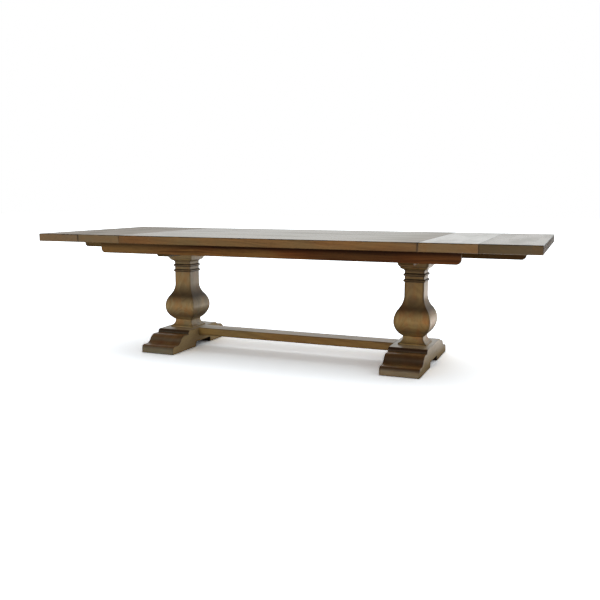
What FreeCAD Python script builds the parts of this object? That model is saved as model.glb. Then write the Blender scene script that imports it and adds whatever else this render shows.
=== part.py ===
# Extending trestle dining table. A planked top with cross-grain end boards stands on two baluster
# pedestals, and at each end a loose leaf lies on two runners pulled out from under the top.
# Millimetres, +Z up, +X along the table, origin on the floor under the middle of the top.
import FreeCAD
import Part
import Sketcher
import math
import os
import re

SIZES = {
    # Top boards
    "table_height": 762.0,
    "top_width": 1143.0,
    "top_thickness": 48.5,
    "main_length": 1828.8,
    "breadboard_width": 304.8,
    "leaf_width": 304.8,
    "leaf_gap": 0.3,
    "edge_ease": 3.0,
    # Tongue of the middle panel in each end board, and the pegs through it
    "tongue_length": 25.0,
    "tongue_thickness": 16.0,
    "tongue_stop": 60.0,
    "peg_diameter": 10.0,
    "peg_length": 36.0,
    "peg_inset": 131.5,
    # Pins that line each leaf up with the end of the top
    "pin_diameter": 12.0,
    "pin_length": 60.0,
    "pin_inset": 191.5,
    "pin_clearance": 0.1,
    # Apron frame
    "apron_setback": 99.5,
    "apron_end_setback": 98.0,
    "apron_thickness": 25.0,
    "apron_end_radius": 26.0,
    "rail_thickness": 32.0,
    "end_rail_setback": 62.0,
    "tenon_length": 12.0,
    "tenon_thickness": 12.0,
    "tenon_shoulder": 14.0,
    "fit_gap": 0.1,
    # Runners
    "runner_lane": 231.0,
    "runner_width": 45.0,
    "runner_height": 50.4,
    "runner_floor": 17.8,
    "runner_setback": 102.0,
    "runner_end_radius": 22.0,
    "runner_tail": 50.0,
    "slide_clearance": 0.3,
    "stop_diameter": 16.0,
    "stop_projection": 14.0,
    # Buttons that hold the top on the aprons
    "button_width": 32.0,
    "button_length": 44.0,
    "button_height": 20.0,
    "button_tongue": 9.0,
    "button_lip": 8.0,
    "button_screw": 4.5,
    "button_screw_head": 9.0,
    "button_screw_length": 44.0,
    "screw_head_height": 3.5,
    # Pedestals
    "pedestal_spacing": 1574.0,
    "bolster_width": 91.0,
    "bolster_length": 575.0,
    "bolster_thickness": 30.9,
    "bolster_end_radius": 16.0,
    "bolster_screw": 6.0,
    "bolster_screw_head": 12.0,
    "bolster_screw_length": 56.0,
    "bolster_screw_recess": 6.0,
    "bolster_screw_reach": 150.0,
    # Column, half widths of its square section and heights along it
    "abacus_half": 88.5,
    "abacus_height": 25.0,
    "cyma_half": 82.5,
    "cyma_rise": 32.0,
    "ring_drop": 18.0,
    "ring_spacing": 35.0,
    "ring_height": 16.0,
    "ring_projection": 7.0,
    "neck_half": 59.0,
    "swell_share": 0.65,
    "bulb_half": 109.5,
    "bulb_fall": 92.0,
    "low_neck_half": 61.5,
    "low_neck_height": 8.0,
    "base_half": 85.0,
    "base_cove": 34.0,
    "base_fillet": 7.0,
    # Foot
    "foot_width": 231.2,
    "foot_length": 767.0,
    "toe_length": 61.5,
    "toe_height": 52.0,
    "toe_radius": 22.0,
    "ogee_run": 72.0,
    "ogee_rise": 50.0,
    "ogee_ease": 1.6,
    "ledge_width": 56.0,
    "ovolo_radius": 22.0,
    "arch_length": 192.0,
    "arch_height": 33.0,
    "arch_radius": 15.0,
    "glide_diameter": 34.0,
    "glide_thickness": 5.0,
    "glide_stand": 1.5,
    "glide_inset": 32.0,
    # Tie rods through the pedestals
    "rod_diameter": 12.0,
    "rod_clearance": 0.4,
    "nut_flats": 19.0,
    "nut_height": 10.0,
    "washer_diameter": 30.0,
    "washer_thickness": 2.5,
    "rod_end": 3.0,
    "nut_room": 3.0,
    # Stretcher
    "stretcher_depth": 120.0,
    "stretcher_thickness": 50.0,
    "stretcher_tenon": 40.0,
    "stretcher_tenon_depth": 66.0,
    "stretcher_tenon_height": 28.0,
    "stretcher_screw": 8.0,
    "stretcher_screw_head": 15.0,
    "stretcher_screw_recess": 8.0,
    "stretcher_screw_length": 64.0,
    "stretcher_screw_spacing": 34.0,
}

# Heights and places that follow from the sizes above
TOP_UNDER = "(table_height - top_thickness)"
TOP_MIDDLE = "(table_height - top_thickness / 2)"
MAIN_END = "(main_length / 2)"
CLOSED_END = "(main_length / 2 + breadboard_width)"
OPEN_END = f"({CLOSED_END} + leaf_width)"
TOP_EDGE = "(top_width / 2)"
APRON_FACE = "(top_width / 2 - apron_setback)"
APRON_BACK = f"({APRON_FACE} - apron_thickness)"
APRON_END = f"({CLOSED_END} - apron_end_setback)"
APRON_UNDER = f"({TOP_UNDER} - runner_height - 2 * slide_clearance - runner_floor)"
NOTCH_FLOOR = f"({APRON_UNDER} + runner_floor)"
NOTCH_HALF = "(runner_width / 2 + slide_clearance)"
BOLSTER_UNDER = f"({APRON_UNDER} - bolster_thickness)"
FOOT_TOP = "(toe_height + ogee_rise + ovolo_radius)"
PEDESTAL = "(pedestal_spacing / 2)"
END_RAIL = f"({APRON_END} - end_rail_setback - rail_thickness / 2)"
STOP_PLACE = f"({PEDESTAL} - rail_thickness / 2 - slide_clearance - stop_diameter / 2)"
RUNNER_TAIL = f"({STOP_PLACE} - runner_tail)"
RUNNER_TIP = f"({OPEN_END} - runner_setback)"
RUNNER_UNDER = f"({NOTCH_FLOOR} + slide_clearance)"
RUNNER_TOP = f"({RUNNER_UNDER} + runner_height)"
INNER_RAIL = f"({RUNNER_TAIL} - leaf_width - slide_clearance - rail_thickness / 2)"
PEG_PLACE = f"({MAIN_END} + tongue_length / 2)"
PEG_REACH = f"({TOP_EDGE} - peg_inset)"
PIN_REACH = f"({TOP_EDGE} - pin_inset)"
FOOT_FACE = f"({PEDESTAL} - foot_width / 2)"
NUT_POCKET = "(washer_thickness + nut_height + rod_end + nut_room)"

ENDS = (("left", True), ("right", False))
LANES = (("front", -1), ("back", 1))

doc = FreeCAD.newDocument("ExtendingTable")
sheet = doc.addObject("Spreadsheet::Sheet", "Sizes")
for row, (alias, size) in enumerate(SIZES.items(), 1):
    sheet.set(f"A{row}", alias)
    sheet.set(f"B{row}", str(size))
    sheet.setAlias(f"B{row}", alias)
doc.recompute()


def formula(text):
    # A formula over the named sizes, written out on the cells of the sheet
    return re.sub(r"[a-z_]+", lambda word: f"Sizes.{word[0]}" if word[0] in SIZES else word[0], text)


def number(text):
    return float(sheet.evalExpression(formula(text)))


def bind(thing, where, text):
    thing.setExpression(where, formula(text))


def new_body(label, turned=False, along="0", across="0"):
    # A piece of the table; a turned piece is the same piece at the opposite end
    body = doc.addObject("PartDesign::Body", label)
    body.Label = label
    axis = FreeCAD.Vector(0, 0, 1)
    body.Placement = FreeCAD.Placement(FreeCAD.Vector(), FreeCAD.Rotation(axis, 180 if turned else 0))
    bind(body, "Placement.Base.x", f"-({along})" if turned else along)
    bind(body, "Placement.Base.y", across)
    return body


def new_sketch(body, role, offset="0"):
    plane = next(feature for feature in body.Origin.OriginFeatures if feature.Role == role)
    sketch = body.newObject("Sketcher::SketchObject", "Sketch")
    sketch.AttachmentSupport = [(plane, "")]
    sketch.MapMode = "FlatFace"
    bind(sketch, "AttachmentOffset.Base.z", offset)
    return sketch


def constrain(sketch, kind, geometry, point, text):
    # One bound dimension: a coordinate of a point, or the radius or diameter of a whole curve
    place = (geometry,) if point is None else (geometry, point)
    index = sketch.addConstraint(Sketcher.Constraint(kind, *place, number(text)))
    bind(sketch, f"Constraints[{index}]", text)


def arc_between(start, end, radius, turn):
    # The shorter arc from start to end; turn is 1 for a left-hand bend and -1 for a right-hand one
    chord = end - start
    rise = math.sqrt(max(radius ** 2 - (chord.Length / 2) ** 2, 0.0))
    normal = FreeCAD.Vector(-chord.y, chord.x, 0).normalize()
    centre = (start + end) / 2 + normal * rise * turn
    first, last = (start, end) if turn > 0 else (end, start)
    angles = [math.atan2(point.y - centre.y, point.x - centre.x) for point in (first, last)]
    circle = Part.Circle(centre, FreeCAD.Vector(0, 0, 1), radius)
    return Part.ArcOfCircle(circle, angles[0], angles[1])


def draw_outline(sketch, corners):
    # A closed outline. A corner is (across, up), reached by a straight line from the corner before,
    # or (across, up, radius, turn), reached by an arc
    points = [FreeCAD.Vector(number(corner[0]), number(corner[1]), 0) for corner in corners]
    starts = []
    ends = []
    for place, corner in enumerate(corners):
        start = points[place - 1]
        end = points[place]
        if len(corner) == 2:
            geometry = sketch.addGeometry(Part.LineSegment(start, end))
            turn = 1
        else:
            turn = corner[3]
            geometry = sketch.addGeometry(arc_between(start, end, number(corner[2]), turn))
        starts.append((geometry, 1 if turn > 0 else 2))
        ends.append((geometry, 2 if turn > 0 else 1))
    for place, corner in enumerate(corners):
        following = starts[(place + 1) % len(corners)]
        sketch.addConstraint(Sketcher.Constraint("Coincident", *ends[place], *following))
        constrain(sketch, "DistanceX", *ends[place], corner[0])
        constrain(sketch, "DistanceY", *ends[place], corner[1])
        if len(corner) == 4:
            constrain(sketch, "Radius", ends[place][0], None, corner[2])


def draw_rectangle(sketch, across, up):
    low, high = across
    bottom, top = up
    draw_outline(sketch, [(low, bottom), (high, bottom), (high, top), (low, top)])


def draw_circle(sketch, across, up, diameter):
    centre = FreeCAD.Vector(number(across), number(up), 0)
    circle = Part.Circle(centre, FreeCAD.Vector(0, 0, 1), number(diameter) / 2)
    geometry = sketch.addGeometry(circle)
    constrain(sketch, "DistanceX", geometry, 3, across)
    constrain(sketch, "DistanceY", geometry, 3, up)
    constrain(sketch, "Diameter", geometry, None, diameter)


def add_pad(body, sketch, length, symmetric=False, reverse=False):
    pad = body.newObject("PartDesign::Pad", "Pad")
    pad.Profile = sketch
    pad.SideType = "Symmetric" if symmetric else "One side"
    pad.Reversed = reverse
    bind(pad, "Length", length)
    return pad


def add_pocket(body, sketch, length=None, symmetric=False, reverse=False):
    # Cuts against the sketch's normal, or along it if reversed; with no length it cuts right through
    pocket = body.newObject("PartDesign::Pocket", "Pocket")
    pocket.Profile = sketch
    pocket.SideType = "Symmetric" if symmetric else "One side"
    pocket.Reversed = reverse
    if length is None:
        pocket.Type = "ThroughAll"
    else:
        bind(pocket, "Length", length)
    return pocket


def add_block(body, along, across, bottom, height):
    sketch = new_sketch(body, "XY_Plane", bottom)
    draw_rectangle(sketch, along, across)
    return add_pad(body, sketch, height)


def add_rods(body, centres, diameter, bottom, length):
    # Upright cylinders of one size
    sketch = new_sketch(body, "XY_Plane", bottom)
    for along, across in centres:
        draw_circle(sketch, along, across, diameter)
    return add_pad(body, sketch, length)


def bore_upward(body, centres, diameter, bottom, depth=None):
    sketch = new_sketch(body, "XY_Plane", bottom)
    for along, across in centres:
        draw_circle(sketch, along, across, diameter)
    return add_pocket(body, sketch, depth, reverse=True)


def bore_downward(body, centres, diameter, top, depth):
    sketch = new_sketch(body, "XY_Plane", top)
    for along, across in centres:
        draw_circle(sketch, along, across, diameter)
    return add_pocket(body, sketch, depth)


def ease_edges(body):
    # Rounds every edge of the plain board
    base = body.Tip
    fillet = body.newObject("PartDesign::Fillet", "Ease")
    fillet.Base = (base, ["Edge1"])
    fillet.UseAllEdges = True
    bind(fillet, "Radius", "edge_ease")
    return fillet


def both_signs(text):
    return [f"-({text})", f"({text})"]


def half_span(text):
    return tuple(both_signs(text))


def span(middle, half):
    return f"({middle}) - ({half})", f"({middle}) + ({half})"


# Buttons: their places along each apron, their middle line, and the clear size of their screws
BUTTON_MIDDLE = f"(({INNER_RAIL} + {PEDESTAL}) / 2)"
BUTTON_END = f"(({END_RAIL} + rail_thickness / 2 + {APRON_END}) / 2)"
BUTTON_LINE = f"({APRON_BACK} - button_length / 2)"
MAIN_BUTTONS = [f"-{BUTTON_MIDDLE}", "0", BUTTON_MIDDLE]
ALL_BUTTONS = [f"-{BUTTON_END}"] + MAIN_BUTTONS + [BUTTON_END]
BUTTON_BOTTOM = f"({TOP_UNDER} - button_height)"
BUTTON_SCREW_HOLE = "(button_screw + 2 * fit_gap)"
BUTTON_SCREW_GRIP = "(button_screw_length - button_height + fit_gap)"


def button_places(rows):
    return [(place, line) for place in rows for line in both_signs(BUTTON_LINE)]


def peg_places(side_places):
    rows = [f"{step} / 2 * {PEG_REACH}" for step in (-2, -1, 0, 1, 2)]
    return [(place, row) for place in side_places for row in rows]


PIN_ROWS = [f"-{PIN_REACH}", "0", PIN_REACH]


def make_main_top():
    body = new_body("main_top")
    add_block(body, half_span(MAIN_END), half_span(TOP_EDGE), TOP_UNDER, "top_thickness")
    ease_edges(body)
    tongue_reach = f"({MAIN_END} + tongue_length)"
    tongue_half = f"({TOP_EDGE} - tongue_stop)"
    tongue_bottom = f"({TOP_MIDDLE} - tongue_thickness / 2)"
    add_block(body, half_span(tongue_reach), half_span(tongue_half), tongue_bottom, "tongue_thickness")
    peg_hole = "(peg_diameter + 2 * fit_gap)"
    bore_upward(body, peg_places(both_signs(PEG_PLACE)), peg_hole, TOP_UNDER)
    bore_upward(body, button_places(MAIN_BUTTONS), BUTTON_SCREW_HOLE, TOP_UNDER, BUTTON_SCREW_GRIP)
    return body


def make_breadboard(side, turned):
    body = new_body(f"breadboard_{side}", turned)
    add_block(body, (MAIN_END, CLOSED_END), half_span(TOP_EDGE), TOP_UNDER, "top_thickness")
    ease_edges(body)
    groove = new_sketch(body, "XY_Plane", f"{TOP_MIDDLE} - tongue_thickness / 2 - fit_gap")
    groove_along = (f"{MAIN_END} - edge_ease", f"{MAIN_END} + tongue_length + fit_gap")
    draw_rectangle(groove, groove_along, half_span(f"{TOP_EDGE} - tongue_stop + fit_gap"))
    add_pocket(body, groove, "tongue_thickness + 2 * fit_gap", reverse=True)
    peg_hole = "(peg_diameter + 2 * fit_gap)"
    bore_upward(body, peg_places([PEG_PLACE]), peg_hole, TOP_UNDER, "peg_length + fit_gap")
    bore_upward(body, button_places([BUTTON_END]), BUTTON_SCREW_HOLE, TOP_UNDER, BUTTON_SCREW_GRIP)
    sockets = new_sketch(body, "YZ_Plane", CLOSED_END)
    for row in PIN_ROWS:
        draw_circle(sockets, row, TOP_MIDDLE, "pin_diameter + 2 * pin_clearance")
    add_pocket(body, sockets, "pin_length / 2 + slide_clearance")
    return body


def make_breadboard_pegs():
    body = new_body("breadboard_pegs")
    add_rods(body, peg_places(both_signs(PEG_PLACE)), "peg_diameter", TOP_UNDER, "peg_length")
    return body


def make_leaf(side, turned):
    body = new_body(f"leaf_{side}", turned)
    inner_face = f"({CLOSED_END} + leaf_gap)"
    add_block(body, (inner_face, OPEN_END), half_span(TOP_EDGE), TOP_UNDER, "top_thickness")
    ease_edges(body)
    holes = new_sketch(body, "YZ_Plane", inner_face)
    for row in PIN_ROWS:
        draw_circle(holes, row, TOP_MIDDLE, "pin_diameter + 2 * fit_gap")
    add_pocket(body, holes, "pin_length / 2 - leaf_gap", reverse=True)
    return body


def make_leaf_pins(side, turned):
    body = new_body(f"leaf_pins_{side}", turned)
    sketch = new_sketch(body, "YZ_Plane", f"{CLOSED_END} - pin_length / 2")
    for row in PIN_ROWS:
        draw_circle(sketch, row, TOP_MIDDLE, "pin_diameter")
    add_pad(body, sketch, "pin_length")
    return body


def make_apron(side, turned):
    # A long board with rounded lower corners, mortised for the rails and slotted for the buttons
    body = new_body(f"apron_{side}", turned)
    radius = "apron_end_radius"
    foot = f"{APRON_UNDER} + {radius}"
    reach = f"{APRON_END} - {radius}"
    outline = [
        (f"-({reach})", APRON_UNDER, radius, 1),
        (reach, APRON_UNDER),
        (APRON_END, foot, radius, 1),
        (APRON_END, TOP_UNDER),
        (f"-{APRON_END}", TOP_UNDER),
        (f"-{APRON_END}", foot),
    ]
    board = new_sketch(body, "XZ_Plane", APRON_BACK)
    draw_outline(board, outline)
    add_pad(body, board, "apron_thickness")
    mortises = new_sketch(body, "XZ_Plane", APRON_BACK)
    low = f"{APRON_UNDER} + tenon_shoulder - fit_gap"
    high = f"{TOP_UNDER} - tenon_shoulder + fit_gap"
    for rail in (END_RAIL, PEDESTAL, INNER_RAIL):
        for place in both_signs(rail):
            draw_rectangle(mortises, span(place, "tenon_thickness / 2 + fit_gap"), (low, high))
    add_pocket(body, mortises, "tenon_length + fit_gap", reverse=True)
    slots = new_sketch(body, "XZ_Plane", APRON_BACK)
    lip = (f"{BUTTON_BOTTOM} - fit_gap", f"{BUTTON_BOTTOM} + button_lip + fit_gap")
    for place in ALL_BUTTONS:
        draw_rectangle(slots, span(place, "button_width / 2 + fit_gap"), lip)
    add_pocket(body, slots, "button_tongue + fit_gap", reverse=True)
    return body


def make_rail(name, turned, place, notched):
    # A rail between the aprons with a stub tenon at each end; the runners pass through its notches
    body = new_body(name, turned, along=place)
    outline = [(f"-{APRON_BACK}", APRON_UNDER), (APRON_BACK, APRON_UNDER), (APRON_BACK, TOP_UNDER)]
    if notched:
        for lane in ("runner_lane", "-runner_lane"):
            outer = f"{lane} + {NOTCH_HALF}"
            inner = f"{lane} - {NOTCH_HALF}"
            outline += [(outer, TOP_UNDER), (outer, NOTCH_FLOOR), (inner, NOTCH_FLOOR), (inner, TOP_UNDER)]
    outline.append((f"-{APRON_BACK}", TOP_UNDER))
    board = new_sketch(body, "YZ_Plane")
    draw_outline(board, outline)
    add_pad(body, board, "rail_thickness", symmetric=True)
    tenons = new_sketch(body, "YZ_Plane")
    height = (f"{APRON_UNDER} + tenon_shoulder", f"{TOP_UNDER} - tenon_shoulder")
    for sign in ("", "-"):
        across = (f"{sign}({APRON_BACK} - tenon_length)", f"{sign}({APRON_BACK} + tenon_length)")
        draw_rectangle(tenons, across, height)
    add_pad(body, tenons, "tenon_thickness", symmetric=True)
    return body


def make_top_buttons():
    body = new_body("top_buttons")
    blocks = new_sketch(body, "XY_Plane", BUTTON_BOTTOM)
    lips = new_sketch(body, "XY_Plane", BUTTON_BOTTOM)
    for place in ALL_BUTTONS:
        along = span(place, "button_width / 2")
        for sign in ("", "-"):
            draw_rectangle(blocks, along, (f"{sign}({APRON_BACK} - button_length)", f"{sign}{APRON_BACK}"))
            draw_rectangle(lips, along, (f"{sign}({APRON_BACK} - button_tongue)",
                                         f"{sign}({APRON_BACK} + button_tongue)"))
    add_pad(body, blocks, "button_height")
    add_pad(body, lips, "button_lip")
    bore_upward(body, button_places(ALL_BUTTONS), BUTTON_SCREW_HOLE, BUTTON_BOTTOM)
    return body


def make_button_screws():
    body = new_body("button_screws")
    places = button_places(ALL_BUTTONS)
    add_rods(body, places, "button_screw_head", f"{BUTTON_BOTTOM} - screw_head_height", "screw_head_height")
    add_rods(body, places, "button_screw", BUTTON_BOTTOM, "button_screw_length")
    return body


def make_runner(lane, sign, side, turned):
    # A square bar with a rounded lower tip and a cross hole for its stop
    body = new_body(f"runner_{lane}_{side}", turned, across=f"{sign} * runner_lane")
    radius = "runner_end_radius"
    outline = [
        (RUNNER_TAIL, RUNNER_UNDER),
        (f"{RUNNER_TIP} - {radius}", RUNNER_UNDER),
        (RUNNER_TIP, f"{RUNNER_UNDER} + {radius}", radius, 1),
        (RUNNER_TIP, RUNNER_TOP),
        (RUNNER_TAIL, RUNNER_TOP),
    ]
    bar = new_sketch(body, "XZ_Plane")
    draw_outline(bar, outline)
    add_pad(body, bar, "runner_width", symmetric=True)
    hole = new_sketch(body, "XZ_Plane")
    draw_circle(hole, STOP_PLACE, f"{RUNNER_UNDER} + runner_height / 2", "stop_diameter + 2 * fit_gap")
    add_pocket(body, hole, symmetric=True)
    return body


def make_runner_stop(lane, sign, side, turned):
    body = new_body(f"runner_stop_{lane}_{side}", turned, across=f"{sign} * runner_lane")
    dowel = new_sketch(body, "XZ_Plane")
    draw_circle(dowel, STOP_PLACE, f"{RUNNER_UNDER} + runner_height / 2", "stop_diameter")
    add_pad(body, dowel, "runner_width + 2 * stop_projection", symmetric=True)
    return body


BOLSTER_SCREWS = [("0", row) for row in both_signs("bolster_screw_reach")]


def make_bolster(side, turned):
    # Bearer across the top of a column with rounded lower ends
    body = new_body(f"bolster_{side}", turned, along=PEDESTAL)
    half = "(bolster_length / 2)"
    radius = "bolster_end_radius"
    outline = [
        (f"{radius} - {half}", BOLSTER_UNDER, radius, 1),
        (f"{half} - {radius}", BOLSTER_UNDER),
        (half, f"{BOLSTER_UNDER} + {radius}", radius, 1),
        (half, APRON_UNDER),
        (f"-{half}", APRON_UNDER),
        (f"-{half}", f"{BOLSTER_UNDER} + {radius}"),
    ]
    board = new_sketch(body, "YZ_Plane")
    draw_outline(board, outline)
    add_pad(body, board, "bolster_width", symmetric=True)
    bore_upward(body, [("0", "0")], "rod_diameter + 2 * rod_clearance", BOLSTER_UNDER)
    bore_downward(body, [("0", "0")], "washer_diameter + 2 * rod_clearance", APRON_UNDER, NUT_POCKET)
    bore_upward(body, BOLSTER_SCREWS, "bolster_screw + 2 * fit_gap", BOLSTER_UNDER)
    recess = "bolster_screw_head + 2 * rod_clearance"
    bore_upward(body, BOLSTER_SCREWS, recess, BOLSTER_UNDER, "bolster_screw_recess")
    return body


def make_bolster_screws():
    body = new_body("bolster_screws")
    places = [(place, row) for place in both_signs(PEDESTAL) for row in both_signs("bolster_screw_reach")]
    seat = f"({BOLSTER_UNDER} + bolster_screw_recess)"
    add_rods(body, places, "bolster_screw_head", f"{seat} - screw_head_height", "screw_head_height")
    add_rods(body, places, "bolster_screw", seat, "bolster_screw_length")
    return body


def make_cross_rail(side, turned):
    body = make_rail(f"cross_rail_{side}", turned, PEDESTAL, True)
    depth = "bolster_screw_recess + bolster_screw_length - bolster_thickness + fit_gap"
    bore_upward(body, BOLSTER_SCREWS, "bolster_screw + 2 * fit_gap", APRON_UNDER, depth)
    return body


def column_side():
    # One side of the column from its base up: fillet, cove, low neck, bulb that swells from the neck in
    # a double curve, two rings, cyma and abacus. Each corner is (half width, height, radius, bend)
    base_top = f"({FOOT_TOP} + base_fillet)"
    cove_top = f"({base_top} + base_cove)"
    low_neck_top = f"({cove_top} + low_neck_height)"
    bulb_level = f"({low_neck_top} + bulb_fall)"
    abacus_foot = f"({BOLSTER_UNDER} - abacus_height)"
    cyma_foot = f"({abacus_foot} - cyma_rise)"
    high_ring = f"({cyma_foot} - ring_drop)"
    low_ring = f"({high_ring} - ring_spacing)"
    swell = f"(({low_ring} - ring_height / 2 - {bulb_level}) * swell_share)"
    swell_radius = f"(((bulb_half - neck_half)^2 + {swell}^2) / (4 * (bulb_half - neck_half)))"
    cyma_radius = "(((cyma_half - neck_half)^2 + cyma_rise^2) / (4 * (cyma_half - neck_half)))"
    cove_radius = "(((base_half - low_neck_half)^2 + base_cove^2) / (2 * (base_half - low_neck_half)))"
    bulb_radius = "(((bulb_half - low_neck_half)^2 + bulb_fall^2) / (2 * (bulb_half - low_neck_half)))"
    ring_radius = "((ring_height^2 / 4 + ring_projection^2) / (2 * ring_projection))"
    side = [
        ("base_half", FOOT_TOP),
        ("base_half", base_top),
        ("low_neck_half", cove_top, cove_radius, -1),
        ("low_neck_half", low_neck_top),
        ("bulb_half", bulb_level, bulb_radius, 1),
        ("(bulb_half + neck_half) / 2", f"{bulb_level} + {swell} / 2", swell_radius, 1),
        ("neck_half", f"{bulb_level} + {swell}", swell_radius, -1),
    ]
    for ring in (low_ring, high_ring):
        side.append(("neck_half", f"{ring} - ring_height / 2"))
        side.append(("neck_half", f"{ring} + ring_height / 2", ring_radius, 1))
    side += [
        ("neck_half", cyma_foot),
        ("(neck_half + cyma_half) / 2", f"{cyma_foot} + cyma_rise / 2", cyma_radius, -1),
        ("cyma_half", abacus_foot, cyma_radius, 1),
        ("abacus_half", abacus_foot),
        ("abacus_half", BOLSTER_UNDER),
    ]
    return side


def mirrored(side):
    # The same side on the other half of the section, walked from the top down. The curve that led up to
    # a corner now leads down from it, so it goes with the corner below
    corners = []
    for place, corner in enumerate(reversed(side)):
        above = side[len(side) - place] if place else ()
        corners.append((f"-({corner[0]})", corner[1]) + tuple(above[2:]))
    return corners


def make_column(side, turned):
    # Square baluster: the profile is padded one way and trimmed by the same profile the other way, so
    # its mouldings meet in mitres at the corners
    body = new_body(f"column_{side}", turned, along=PEDESTAL)
    profile = column_side()
    outline = profile + mirrored(profile)
    blank = new_sketch(body, "XZ_Plane")
    draw_outline(blank, outline)
    add_pad(body, blank, "2 * bulb_half", symmetric=True)
    trim = new_sketch(body, "YZ_Plane")
    surround = (f"{FOOT_TOP} - base_fillet", f"{BOLSTER_UNDER} + base_fillet")
    draw_rectangle(trim, half_span("bulb_half + abacus_half"), surround)
    draw_outline(trim, outline)
    add_pocket(body, trim, symmetric=True)
    bore_upward(body, [("0", "0")], "rod_diameter + 2 * rod_clearance", FOOT_TOP)
    return body


STRETCHER_MIDDLE = f"({FOOT_TOP} - stretcher_thickness / 2)"
TENON_BOTTOM = f"({STRETCHER_MIDDLE} - stretcher_tenon_height / 2)"
SCREW_SEAT = "(arch_height + stretcher_screw_recess)"
SCREW_ROWS = both_signs("stretcher_screw_spacing / 2")
SCREW_PLACE = f"({FOOT_FACE} + stretcher_tenon / 2)"


def foot_side():
    # Half of the foot's long outline from the arch outwards and up: pad, rounded toe, ogee, ledge and
    # quarter round under the platform. With an ogee ease of 1 the ogee starts and ends level
    half = "(foot_length / 2)"
    arch_half = "(arch_length / 2)"
    ogee_foot = f"({half} - toe_length)"
    ogee_head = f"({ogee_foot} - ogee_run)"
    ledge_end = f"({ogee_head} - ledge_width)"
    ledge_level = "(toe_height + ogee_rise)"
    ogee_radius = "(ogee_ease * (ogee_run^2 + ogee_rise^2) / (4 * ogee_rise))"
    return [
        (f"{arch_half} - arch_radius", "arch_height"),
        (arch_half, "arch_height - arch_radius", "arch_radius", -1),
        (arch_half, "glide_stand"),
        (half, "glide_stand"),
        (half, "toe_height - toe_radius"),
        (f"{half} - toe_radius", "toe_height", "toe_radius", 1),
        (ogee_foot, "toe_height"),
        (f"({ogee_foot} + {ogee_head}) / 2", "toe_height + ogee_rise / 2", ogee_radius, -1),
        (ogee_head, ledge_level, ogee_radius, 1),
        (ledge_end, ledge_level),
        (f"{ledge_end} - ovolo_radius", FOOT_TOP, "ovolo_radius", 1),
    ]


def glide_places(middles):
    rows = both_signs("foot_length / 2 - glide_inset")
    steps = both_signs("foot_width / 2 - glide_inset")
    return [(f"{middle} + {step}", row) for middle in middles for step in steps for row in rows]


def make_foot(side, turned):
    body = new_body(f"foot_{side}", turned, along=PEDESTAL)
    profile = foot_side()
    board = new_sketch(body, "YZ_Plane")
    draw_outline(board, profile + mirrored(profile))
    add_pad(body, board, "foot_width", symmetric=True)
    bore_upward(body, [("0", "0")], "rod_diameter + 2 * rod_clearance", "arch_height")
    bore_upward(body, [("0", "0")], "washer_diameter + 2 * rod_clearance", "arch_height", NUT_POCKET)
    mortise = new_sketch(body, "YZ_Plane", "-foot_width / 2")
    width = half_span("stretcher_tenon_depth / 2 + fit_gap")
    draw_rectangle(mortise, width, span(STRETCHER_MIDDLE, "stretcher_tenon_height / 2 + fit_gap"))
    add_pocket(body, mortise, "stretcher_tenon + fit_gap", reverse=True)
    screws = [("stretcher_tenon / 2 - foot_width / 2", row) for row in SCREW_ROWS]
    depth = "stretcher_screw_recess + stretcher_screw_length + fit_gap"
    bore_upward(body, screws, "stretcher_screw + 2 * fit_gap", "arch_height", depth)
    recess = "stretcher_screw_head + 2 * rod_clearance"
    bore_upward(body, screws, recess, "arch_height", "stretcher_screw_recess")
    glide_hole = "glide_diameter + 2 * fit_gap"
    bore_upward(body, glide_places(["0"]), glide_hole, "glide_stand", "glide_thickness - glide_stand")
    return body


def make_foot_glides():
    body = new_body("foot_glides")
    add_rods(body, glide_places(both_signs(PEDESTAL)), "glide_diameter", "0", "glide_thickness")
    return body


def make_stretcher():
    # Flat rail between the feet with a stub tenon at each end
    body = new_body("stretcher")
    across = half_span("stretcher_depth / 2")
    bottom = f"{FOOT_TOP} - stretcher_thickness"
    add_block(body, half_span(FOOT_FACE), across, bottom, "stretcher_thickness")
    reach = half_span(f"{FOOT_FACE} + stretcher_tenon")
    tenon = half_span("stretcher_tenon_depth / 2")
    add_block(body, reach, tenon, TENON_BOTTOM, "stretcher_tenon_height")
    screws = [(place, row) for place in both_signs(SCREW_PLACE) for row in SCREW_ROWS]
    bore_upward(body, screws, "stretcher_screw + 2 * fit_gap", TENON_BOTTOM)
    return body


def make_stretcher_screws():
    body = new_body("stretcher_screws")
    places = [(place, row) for place in both_signs(SCREW_PLACE) for row in SCREW_ROWS]
    add_rods(body, places, "stretcher_screw_head", f"{SCREW_SEAT} - screw_head_height", "screw_head_height")
    add_rods(body, places, "stretcher_screw", SCREW_SEAT, "stretcher_screw_length")
    return body


ROD_PLACES = [(place, "0") for place in both_signs(PEDESTAL)]
FOOT_SEAT = f"(arch_height + {NUT_POCKET})"
BOLSTER_SEAT = f"({APRON_UNDER} - {NUT_POCKET})"


def make_tie_rods():
    body = new_body("tie_rods")
    bottom = "arch_height + nut_room"
    add_rods(body, ROD_PLACES, "rod_diameter", bottom, f"{APRON_UNDER} - nut_room - ({bottom})")
    return body


def make_rod_washers():
    body = new_body("rod_washers")
    for bottom in (f"{FOOT_SEAT} - washer_thickness", BOLSTER_SEAT):
        rings = new_sketch(body, "XY_Plane", bottom)
        for along, across in ROD_PLACES:
            draw_circle(rings, along, across, "washer_diameter")
            draw_circle(rings, along, across, "rod_diameter + 2 * rod_clearance")
        add_pad(body, rings, "washer_thickness")
    return body


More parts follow.
